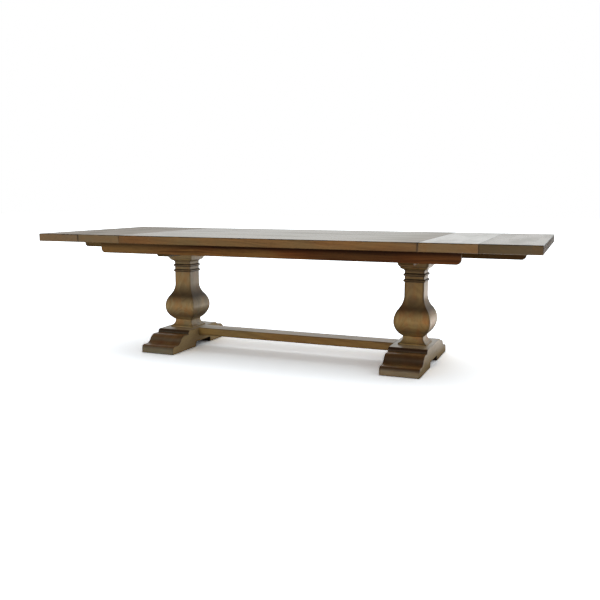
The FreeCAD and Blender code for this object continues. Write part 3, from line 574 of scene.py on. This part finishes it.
def roundedRail(low, high, radius, roundLow, roundHigh):
    # Side view of a straight timber, with the lower corners at its low and high end rounded or square
    across0, up0 = low
    across1, up1 = high
    corners = [(across0 + radius, up0, radius, 1) if roundLow else (across0, up0)]
    if roundHigh:
        corners += [(across1 - radius, up0), (across1, up0 + radius, radius, 1)]
    else:
        corners.append((across1, up0))
    corners += [(across1, up1), (across0, up1)]
    if roundLow:
        corners.append((across0, up0 + radius))
    return spreadPoints(traceOutline(corners), railSize["pointStep"])


def makeRail(node, body, axes, radius, rounded, seed, wood):
    low, high = boxOf(node)
    across, up, through = [axisIndex[axis] for axis in axes]
    outline = roundedRail((low[across], low[up]), (high[across], high[up]), radius, *rounded)
    grid, marks = easedTimber(outline, axes, low[through], high[through], railSize["ease"],
                              railSize["cornerReach"], seed)[:2]
    makePiece(node + "_timber", grid, marks, body, node, wood)


def makeRails():
    s = railSize
    seed = s["seed"]
    both = (True, True)
    for place, lane in enumerate(lanes):
        wood = makeWood("waxed_hardwood_apron_" + lane, shift=(0.9 + place, 0.3, 0.1), **apronLook)
        makeRail("apron_" + lane, "table_frame", "xzy", s["apronRadius"], both, seed["apron"] + place, wood)
    for place, (end, sign) in enumerate(ends.items()):
        for lane in lanes:
            node = f"runner_{lane}_{end}"
            wood = makeWood("waxed_hardwood_" + node, shift=(0.5 * place, 0.7, 0.2), **runnerLook[end])
            makeRail(node, f"{lane}_{end}_runner", "xzy", s["runnerRadius"], (sign < 0, sign > 0),
                     seed["runner"] + place, wood)
        wood = makeWood("waxed_hardwood_bolster_" + end, grain="y", shift=(0.2, 1.1, 0.4), **bearerLook)
        makeRail("bolster_" + end, "table_frame", "yzx", s["bearerRadius"], both, seed["bearer"] + place,
                 wood)
    print("rails: aprons, runners and bearers")


# Square baluster columns: the figure of the wood, a stain for each with painted light on the left one's cap,
# and the sizes of one side, with half widths and heights in mm
# the glaze colour here is also the colour of the painted shade on the columns' leaning mouldings and heads
columnFigure = {"pore": ("#4A3318", 0.3), "glazeAndShade": ("#2C1D0C", 0.9), "heart": (0.0, -30.0, 8.0), "ring": 8.0,
                "taper": 0.2, "streak": (260.0, 34.0, 2.0, 0.30, 0.66),
                "warmPatch": (110.0, 55.0, 2.0, 0.46, 0.64), "coolPatch": (150.0, 70.0, 2.0, 0.50, 0.34)}
columnLook = {
    "left": {"middle": "#917950", "deep": "#7C643C", "pale": ("#AC9565", 0.6), "warm": ("#9E6930", 0.55),
             "cool": ("#887C5C", 0.5), "burnish": ("#35240F", 0.4), "wax": ("#150C05", 0.4), "coat": 0.2,
             # ramps: darker above 330 mm, fully from 400 mm up, and painted light from 525 mm up that lifts
             # the cap out of the apron's shade
             "ramps": [("z", 330, 400, "#6E5836", 0.3), ("z", 525, 570, "#AE9260", 0.5)]},
    "right": {"middle": "#957644", "deep": "#806234", "pale": ("#B1935B", 0.6), "warm": ("#A5662C", 0.6),
              "cool": ("#857550", 0.5), "burnish": ("#35240F", 0.75), "coat": 0.1,
              # ramp: darker above 330 mm, fully from 400 mm up
              "ramps": [("z", 330, 400, "#5E431F", 0.5)]},
}
columnSize = {
    "baseHalf": 85.0,
    "baseFillet": 7.0,
    "cove": 34.0,
    "lowNeckHalf": 61.5,
    "lowNeck": 8.0,
    "bulbHalf": 109.5,
    "bulbFall": 92.0,
    "neckHalf": 59.0,
    "swellShare": 0.65,
    "ringHeight": 16.0,
    "ringProud": 7.0,
    "ringDrop": 18.0,
    "ringSpacing": 35.0,
    "cymaHalf": 82.5,
    "cymaRise": 32.0,
    "abacusHalf": 88.5,
    "abacus": 25.0,
    "arris": 2.4,
    "facePoints": (-1, -0.8, 0, 0.8, 1),  # shares of the half width
    "faceMargins": (5, 0, 0, 0, -5),  # from there towards the middle
    "faceWear": (0.5, 0, 0, 0, 0.5),  # half as dark as the arris
    "edgeReach": 1.8,
    "pointStep": 5.0,
    "headShade": 0.9,  # painted contact shade on the flat head, where the bearer sits; it darkens the top of the abacus too
    "glazeAndShadeHeights": (0.0, 0.10, 0.16, 0.33, 0.42, 0.7, 0.88, 0.92, 1.0),  # shares of the column's height
    "glazeAndShadeShares": (0.15, 0.15, 0.8, 0.5, 1.0, 1.0, 0.9, 0.15, 0.05),  # how much glaze and painted shade is laid there
}


def leanGlazeAndShade(points, closed=True):
    # Dark glaze is left where a moulding leans, and it stands as painted shade on those leaning slopes: the
    # sine of twice the lean, nil on uprights and on flats
    way = mitredNormals(points, closed)
    way /= np.linalg.norm(way, axis=1, keepdims=True)
    return np.abs(2 * way[:, 0] * way[:, 1])


def columnProfile(foot, head):
    # Half width against height from the foot up: fillet, cove, low neck, bulb that swells from the neck in a
    # double curve, two rings, cyma and abacus. Radius of an arc over run a and rise b: (a^2 + b^2) / 2a
    s = columnSize
    coveTop = foot + s["baseFillet"] + s["cove"]
    bulbFoot = coveTop + s["lowNeck"]
    bulbLevel = bulbFoot + s["bulbFall"]
    abacusFoot = head - s["abacus"]
    cymaFoot = abacusFoot - s["cymaRise"]
    rings = [cymaFoot - s["ringDrop"] - s["ringSpacing"], cymaFoot - s["ringDrop"]]
    swell = (rings[0] - s["ringHeight"] / 2 - bulbLevel) * s["swellShare"]
    swellRun = s["bulbHalf"] - s["neckHalf"]
    cymaRun = s["cymaHalf"] - s["neckHalf"]
    coveRun = s["baseHalf"] - s["lowNeckHalf"]
    bulbRun = s["bulbHalf"] - s["lowNeckHalf"]
    swellRadius = (swellRun ** 2 + swell ** 2) / (4 * swellRun)
    cymaRadius = (cymaRun ** 2 + s["cymaRise"] ** 2) / (4 * cymaRun)
    ringRadius = (s["ringHeight"] ** 2 / 4 + s["ringProud"] ** 2) / (2 * s["ringProud"])
    corners = [
        (s["baseHalf"], foot),
        (s["baseHalf"], foot + s["baseFillet"]),
        (s["lowNeckHalf"], coveTop, (coveRun ** 2 + s["cove"] ** 2) / (2 * coveRun), -1),
        (s["lowNeckHalf"], bulbFoot),
        (s["bulbHalf"], bulbLevel, (bulbRun ** 2 + s["bulbFall"] ** 2) / (2 * bulbRun), 1),
        (s["bulbHalf"] - swellRun / 2, bulbLevel + swell / 2, swellRadius, 1),
        (s["neckHalf"], bulbLevel + swell, swellRadius, -1),
    ]
    for ring in rings:
        corners.append((s["neckHalf"], ring - s["ringHeight"] / 2))
        corners.append((s["neckHalf"], ring + s["ringHeight"] / 2, ringRadius, 1))
    corners += [
        (s["neckHalf"], cymaFoot),
        (s["neckHalf"] + cymaRun / 2, cymaFoot + s["cymaRise"] / 2, cymaRadius, -1),
        (s["cymaHalf"], abacusFoot, cymaRadius, 1),
        (s["abacusHalf"], abacusFoot),
        (s["abacusHalf"], head),
    ]
    outline = traceOutline(corners)
    outline = softenCorners(outline, sharpCorners(outline, closed=False), s["edgeReach"])
    return spreadPoints(outline, s["pointStep"], closed=False)


def squareRing():
    # Round a square: on each side the points of a face and then a quarter round at the corner. A point is
    # (half width - arris) * lean + slide + arris * turn, where slide keeps outer points clear of the corners
    s = columnSize
    corner = np.radians(np.arange(0, 91, 22.5))
    ones = np.ones(len(corner))
    share = np.concatenate([s["facePoints"], ones])[:, None]
    margin = np.concatenate([s["faceMargins"], 0 * ones])[:, None]
    angle = np.concatenate([np.zeros(len(s["facePoints"])), corner])[:, None]
    worn = np.concatenate([s["faceWear"], ones])
    quarter = math.pi / 2 * np.arange(4)[:, None, None]
    out = np.concatenate([np.cos(quarter), np.sin(quarter)], 2)
    up = np.concatenate([-np.sin(quarter), np.cos(quarter)], 2)
    lean = out + share * up
    turn = np.cos(angle) * out + np.sin(angle) * up
    return lean.reshape(-1, 2), (margin * up).reshape(-1, 2), turn.reshape(-1, 2), np.tile(worn, 4)


def makeColumns():
    s = columnSize
    lean, slide, turn, worn = squareRing()
    for place, end in enumerate(ends):
        node = "column_" + end
        low, high = boxOf(node)
        middle = (low + high) / 2
        profile = columnProfile(low[2], high[2])
        proud, sunk = cornerMarks(profile, closed=False)
        half = profile[:, :1, None] - s["arris"]
        plan = half * lean[None] + slide[None] + s["arris"] * turn[None] + middle[:2]
        height = np.broadcast_to(profile[:, 1:], plan.shape[:2])
        grid = mm(np.concatenate([plan, height[..., None]], 2))
        rise = (profile[:, 1] - low[2]) / (high[2] - low[2])
        # Glaze on the leaning mouldings, weighted by height, which is also painted shade on the shoulders
        # under the top; the head ring gets painted contact shade
        glazeAndShade = leanGlazeAndShade(profile, closed=False) * np.interp(rise, s["glazeAndShadeHeights"], s["glazeAndShadeShares"])
        glazeAndShade[-1] = s["headShade"]
        marks = {"arris": np.maximum(proud[:, None], worn[None]), "hollow": sunk[:, None],
                 "glazeAndShade": glazeAndShade[:, None]}
        wood = makeWood("waxed_hardwood_" + node, grain="z", shift=(0.7 * place, 0.0, mm(middle[0])),
                        **columnFigure, **columnLook[end])
        makePiece(node + "_timber", grid, marks, "table_frame", node, wood)
    print("columns")


# Trestle feet and the stretcher between them
footFigure = {"warmPatch": (170.0, 60.0, 2.0, 0.45, 0.62), "coolPatch": (190.0, 70.0, 2.0, 0.50, 0.34),
              "specular": 0.3}
# The glaze colour of each foot is also its painted shade on the ogee, the block and in the arch
footLook = {
    "left": {"warm": ("#6E3E18", 0.6), "end": ("#6A6654", 1.0), "glazeAndShade": ("#2C1A0A", 0.9),
             # ramps: painted light on the inner side face, which looks to the right, and a painted
             # reflection on the flat top of the block
             "ramps": [("x", -674, -671.6, "#A58E64", 0.75), ("z", 122.5, 123.9, "#9C8E72", 0.55)]},
    "right": {"warm": ("#70461C", 0.5), "end": ("#80725A", 0.95), "glazeAndShade": ("#281204", 0.95), "coat": 0.25,
              # ramps: a greyer yellow painted on the outer side face for its sheen, and a painted reflection
              # on the flat top of the block
              "ramps": [("x", 900, 902.4, "#7C6C42", 0.55), ("z", 122.5, 123.9, "#9C8E72", 0.55)]},
}
stretcherLook = {"middle": "#846638", "deep": "#664B26", "pale": ("#9D7C46", 0.55), "warm": ("#7E5324", 0.3),
                 "cool": ("#6E613C", 0.45)}
footSize = {
    "toe": 61.5,
    "toeHeight": 52.0,
    "toeRadius": 22.0,
    "ogeeRun": 72.0,
    "ogeeRise": 50.0,
    "ogeeEase": 1.6,  # 1 for an ogee that starts and ends level
    "ledge": 56.0,
    "ovolo": 22.0,
    "arch": 192.0,
    "archHeight": 33.0,
    "archRadius": 15.0,
    "ease": 2.2,
    "cornerReach": 2.2,
    "pointStep": 12.0,
    # glaze on the ogee that is also painted shade, heavier on the right foot; painted shade over the whole
    # block above the ledge
    "ogeeGlazeAndShade": {"left": 0.5, "right": 0.8},
    "blockShade": 0.5,
    "stretcherEase": 2.5,
    "seed": {"foot": 71, "stretcher": 81},
}


def footSide(half, bottom):
    # Half of the side view from the arch outwards and up: pad, rounded toe, ogee, ledge and quarter round
    s = footSize
    archHalf = s["arch"] / 2
    ogeeFoot = half - s["toe"]
    ogeeHead = ogeeFoot - s["ogeeRun"]
    ledgeEnd = ogeeHead - s["ledge"]
    level = s["toeHeight"] + s["ogeeRise"]
    ogee = s["ogeeEase"] * (s["ogeeRun"] ** 2 + s["ogeeRise"] ** 2) / (4 * s["ogeeRise"])
    return [
        (archHalf - s["archRadius"], s["archHeight"]),
        (archHalf, s["archHeight"] - s["archRadius"], s["archRadius"], -1),
        (archHalf, bottom),
        (half, bottom),
        (half, s["toeHeight"] - s["toeRadius"]),
        (half - s["toeRadius"], s["toeHeight"], s["toeRadius"], 1),
        (ogeeFoot, s["toeHeight"]),
        ((ogeeFoot + ogeeHead) / 2, s["toeHeight"] + s["ogeeRise"] / 2, ogee, -1),
        (ogeeHead, level, ogee, 1),
        (ledgeEnd, level),
        (ledgeEnd - s["ovolo"], level + s["ovolo"], s["ovolo"], 1),
    ]


def makeFeet(slack=0.1):
    s = footSize
    for place, end in enumerate(ends):
        node = "foot_" + end
        low, high = boxOf(node)
        side = traceOutline(footSide(high[1], low[2]))
        outline = spreadPoints(np.concatenate([side, side[::-1] * (-1, 1)]), s["pointStep"])
        grid, marks, outer = easedTimber(outline, "yzx", low[0], high[0], s["ease"], s["cornerReach"],
                                         s["seed"]["foot"] + place)
        across, up = outer.T
        # Dark on the mouldings: glaze that is also painted shade on the ogee, painted shade over the block,
        # and painted shade filling the arch
        lean = leanGlazeAndShade(outer)
        onBlock = (up > s["toeHeight"] + s["ogeeRise"] + slack) & (up < high[2] - slack)
        lean = np.where(onBlock, s["blockShade"] + (1 - s["blockShade"]) * lean, s["ogeeGlazeAndShade"][end] * lean)
        inArch = (np.abs(across) < s["arch"] / 2 + slack) & (up < s["archHeight"] + slack)
        glazeAndShade = np.broadcast_to(np.where(inArch, 1, lean), grid.shape[:2]).copy()
        glazeAndShade[[0, 1, -2, -1]] = 0
        marks["glazeAndShade"] = glazeAndShade
        wood = makeWood("waxed_hardwood_" + node, grain="y", shift=(0.3 + place, 0.6, 0.1 * place),
                        **footFigure, **footLook[end])
        makePiece(node + "_timber", grid, marks, "table_frame", node, wood)
    low, high = boxOf("stretcher")
    inner = boxOf("foot_right")[0][0]
    corners = np.array([(-inner, low[1]), (inner, low[1]), (inner, high[1]), (-inner, high[1])])
    outline = spreadPoints(corners, s["pointStep"] * 2)
    grid, marks = easedTimber(outline, "xyz", low[2], high[2], s["stretcherEase"], s["cornerReach"],
                              s["seed"]["stretcher"])[:2]
    wood = makeWood("waxed_hardwood_stretcher", shift=(0.1, 0.9, 0.3), **stretcherLook)
    makePiece("stretcher_timber", grid, marks, "table_frame", "stretcher", wood)
    print("feet and stretcher")


# Rails, buttons, dowels, screws, rods and glides under the top keep their shape and get a finish
hiddenWood = {
    "sawn_hardwood_rail": {"middle": "#6E5230", "deep": "#57401F", "pale": ("#80633B", 0.5),
                           "roughness": 0.6, "specular": 0.3, "relief": 0.35},
    "planed_beech": {"middle": "#B58A5A", "deep": "#A2764A", "pale": ("#C59C6C", 0.5),
                     "warm": ("#A9713F", 0.4), "cool": ("#A98E66", 0.4), "pore": ("#6E4A28", 0.45),
                     "end": ("#8E663C", 0.5), "ring": 5.0, "ringLength": 200.0,
                     "streak": (70.0, 4.0, 3.0, 0.25, 0.7), "fleck": (5.0, 0.7, 2.0, 0.55, 0.7),
                     "roughness": 0.52, "specular": 0.4, "relief": 0.2},
}
hiddenNodes = {
    ("sawn_hardwood_rail", "y"): [f"{rail}_rail_{end}" for rail in ("end", "cross", "inner")
                                  for end in ends],
    ("planed_beech", "y"): ["top_buttons"] + [f"runner_stop_{lane}_{end}" for lane in lanes for end in ends],
    ("planed_beech", "x"): ["leaf_pins_" + end for end in ends],
    ("planed_beech", "z"): ["breadboard_pegs"],
}
# Steel, drawn or turned, zinc plated: a bright grey metal with a faint yellow bloom in patches, and a fine
# orange peel; a rod is threaded. Nylon, moulded: near black, a soft sheen and a spark-eroded grain. Peel and
# grain are about 0.1 mm in life: drawn coarser to show
zincLook = {"tones": ("#BFC1C2", "#B5A98A"), "metallic": 1.0, "roughness": (0.26, 0.42), "patch": 9.0,
            "grain": 0.8}
hardwareLook = {
    "zinc_plated_steel": zincLook,
    "zinc_plated_steel_thread": dict(zincLook, thread=1.75),
    "moulded_nylon": {"tones": ("#1B1917", "#26231F"), "metallic": 0.0, "roughness": (0.42, 0.55),
                      "patch": 4.0, "grain": 0.6},
}
hardwareNodes = {
    "zinc_plated_steel": ["button_screws", "bolster_screws", "stretcher_screws", "rod_nuts", "rod_washers"],
    "zinc_plated_steel_thread": ["tie_rods"],
    "moulded_nylon": ["foot_glides"],
}


def makeHardware(name, tones, metallic, roughness, patch, grain, thread=0.0, levels=(0.35, 0.68), ridge=4.0,
                 relief=0.15, depth=0.2):
    # Levels of noise become no patch and a full one; a ridge of thread is that much higher than the grain
    material, tree, add = newMaterial(name)
    place = add("TexCoord", out="Object")
    noise = add("TexNoise", {"Vector": place, "Scale": 1 / mm(patch), "Detail": 3.0})
    patches = add("MapRange", {0: noise, 1: levels[0], 2: levels[1]})
    colour = add("Mix", {0: patches, 6: linear(tones[0]), 7: linear(tones[1])}, out=2, data_type="RGBA")
    rough = add("MapRange", {0: patches, 3: roughness[0], 4: roughness[1]})
    height = add("TexNoise", {"Vector": place, "Scale": 1 / mm(grain), "Detail": 1.0})
    if thread:  # ridges a pitch apart along the rod: the sine of its height
        up = add("SeparateXYZ", {0: place}, out="Z")
        turn = add("Math", {0: up, 1: 2 * math.pi / mm(thread)}, operation="MULTIPLY")
        wave = add("Math", {0: turn}, operation="SINE")
        height = add("Math", {0: wave, 1: ridge, 2: height}, operation="MULTIPLY_ADD")
    bump = add("Bump", {"Height": height, "Strength": relief, "Distance": mm(depth)})
    setInputs(tree, tree.nodes["Principled BSDF"], {"Base Color": colour, "Roughness": rough, "Normal": bump,
                                                    "Metallic": metallic})
    return material


def finishHidden():
    jobs = [(makeHardware(name, **look), hardwareNodes[name]) for name, look in hardwareLook.items()]
    for (name, axis), labels in hiddenNodes.items():
        jobs.append((makeWood(f"{name}_{axis}", grain=axis, **hiddenWood[name]), labels))
    for material, labels in jobs:
        for label in labels:
            for slot in nodes[label].material_slots:
                slot.material = material
    print("rails, dowels and hardware finished:", sum(len(labels) for material, labels in jobs))


makeTop()
makeRails()
makeColumns()
makeFeet()
finishHidden()

# Camera, floor and lights; radiance is in parts of a white background
studio = {
    "lens": 42.17,
    "sensor": 36,
    "cameraPlace": (1.7069, -4.1080, 0.9877),
    "cameraTurn": (90 - 8.293, 0, 22.095),
    "floorSide": 60.0,
    "floorBounce": (1.3, 1.3, 1.3),  # as scattered light meets it, lit as the boxes would light it
    "floorShown": (2.31, 2.42, 2.51),  # as the camera sees it, so bright that it meets the white background
    "floorShine": (0.07, 1.9),  # in reflections: in front of the table, and in a pool behind and beside it
    "poolReach": (6.0, 10.0),
    "poolDepth": (0.4, 1.6),
    "poolSide": (0.9, 1.04),
    "ambient": 0.6,
    "roomFront": 0.05,
    "roomTurn": (-0.4, 0.4),  # from dim to white, by how far back a reflection points
    "roomTint": (0.965, 1.0, 0.995),  # in reflections
    "boxes": {
        "front": {"place": (-2.2, -6.2, 2.5), "aim": (0, 0, 0.4), "size": (3.0, 1.2), "radiance": 12.9},
        "right": {"place": (5.2, 1.2, 1.7), "aim": (0, 0, 0.4), "size": (2.4, 2.0), "radiance": 5.9,
                  "tint": (0.86, 1.0, 1.2)},
        "back": {"place": (1.0, 6.4, 2.6), "aim": (0, 0, 0.4), "size": (3.0, 1.2), "radiance": 9.0},
    },
    "overhead": {"lean": -33.0, "spread": 90.0, "radiance": 0.22},
}


def addLamp(name, lamp, turn, place=(0, 0, 0)):
    holder = addObject(name, lamp)
    holder.location = place
    holder.rotation_euler = turn
    holder.visible_camera = False
    return holder


def makeSoftBox(name, place, aim, size, radiance, tint=(1, 1, 1)):
    lamp = bpy.data.lights.new(name, "AREA")
    lamp.shape = "RECTANGLE"
    lamp.color = tint
    lamp.size, lamp.size_y = size
    lamp.energy = radiance * math.pi * size[0] * size[1]
    x, y, z = [a - p for a, p in zip(aim, place)]
    return addLamp(name, lamp, (math.atan2(math.hypot(x, y), -z), 0, math.atan2(-x, y)), place)


def makeLights(floor):
    # The overhead light lays the soft shadow under the table; the boxes leave the floor out
    lamp = bpy.data.lights.new("overhead", "SUN")
    lean = math.radians(studio["overhead"]["lean"])
    lamp.angle = math.radians(studio["overhead"]["spread"])
    lamp.energy = studio["overhead"]["radiance"] * math.pi / math.cos(lean)
    addLamp("overhead", lamp, (lean, 0, 0)).visible_glossy = False
    leftOut = bpy.data.collections.new("floorLeftOut")
    leftOut.objects.link(floor)
    leftOut.collection_objects[0].light_linking.link_state = "EXCLUDE"
    for name, box in studio["boxes"].items():
        holder = makeSoftBox(name + "SoftBox", **box)
        holder.light_linking.receiver_collection = leftOut
        holder.visible_glossy = name == "right"


def makeFloor():
    half = studio["floorSide"] / 2
    mesh = bpy.data.meshes.new("floor")
    corners = [(-half, -half, 0), (half, -half, 0), (half, half, 0), (-half, half, 0)]
    mesh.from_pydata(corners, [], [(0, 1, 2, 3)])
    floor = addObject("floor", mesh)
    # pale paper, shown brighter to the camera; in reflections it is bright in a pool behind and beside the
    # table, dim elsewhere
    paper, tree, add = newMaterial("pale_paper_floor")
    tree.nodes.remove(tree.nodes["Principled BSDF"])
    path = add("LightPath").node.outputs
    place = add("TexCoord", out="Object")
    far = add("VectorMath", {0: place}, out="Value", operation="LENGTH")
    start, full = studio["poolReach"]
    near = add("MapRange", {0: far, 1: start, 2: full, 3: 1.0, 4: 0.0}, interpolation_type="SMOOTHSTEP")
    across = add("SeparateXYZ", {0: place}).node.outputs
    pool = 0.0
    for axis, (start, full) in (("X", studio["poolSide"]), ("Y", studio["poolDepth"])):
        reach = add("MapRange", {0: across[axis], 1: start, 2: full}, interpolation_type="SMOOTHSTEP")
        pool = add("Math", {0: reach, 1: pool}, operation="MAXIMUM")
    pool = add("Math", {0: near, 1: pool}, operation="MULTIPLY")
    dim, bright = studio["floorShine"]
    shine = add("MapRange", {0: pool, 3: dim, 4: bright})
    colour = (*studio["floorBounce"], 1)
    for ray, shade in (("Is Glossy Ray", shine), ("Is Transmission Ray", shine),
                       ("Is Camera Ray", (*studio["floorShown"], 1))):
        colour = add("Mix", {0: path[ray], 6: colour, 7: shade}, out=2, data_type="RGBA")
    matte = add("BsdfDiffuse", {"Color": colour})
    setInputs(tree, tree.nodes["Material Output"], {"Surface": matte})
    mesh.materials.append(paper)
    return floor


def makeWorld():
    # White to the camera; in reflections, white behind and a dim room in front; plain ambient light
    world = bpy.data.worlds.new("studio")
    world.use_nodes = True
    bpy.context.scene.world = world
    tree = world.node_tree
    add = functools.partial(addNode, tree)
    path = add("LightPath").node.outputs
    colour = add("Mix", {0: path["Is Glossy Ray"], 6: (1, 1, 1, 1), 7: (*studio["roomTint"], 1)}, out=2,
                 data_type="RGBA")
    way = add("TexCoord", out="Generated")
    depth = add("SeparateXYZ", {0: way}, out="Y")
    start, full = studio["roomTurn"]
    shone = add("MapRange", {0: depth, 1: start, 2: full, 3: studio["roomFront"], 4: 1.0},
                interpolation_type="SMOOTHSTEP")
    level = studio["ambient"]
    for ray, strength in (("Is Glossy Ray", shone), ("Is Transmission Ray", shone), ("Is Camera Ray", 1.0)):
        level = add("Mix", {0: path[ray], 2: level, 3: strength})
    setInputs(tree, tree.nodes["Background"], {"Color": colour, "Strength": level})


def makeStudio():
    camera = bpy.data.cameras.new("photoView")
    camera.lens = studio["lens"]
    camera.sensor_width = studio["sensor"]
    holder = addObject("photoView", camera)
    holder.location = studio["cameraPlace"]
    holder.rotation_euler = [math.radians(angle) for angle in studio["cameraTurn"]]
    bpy.context.scene.camera = holder
    makeLights(makeFloor())
    makeWorld()
    bpy.context.scene.view_settings.view_transform = "Standard"
    print("studio")


makeStudio()
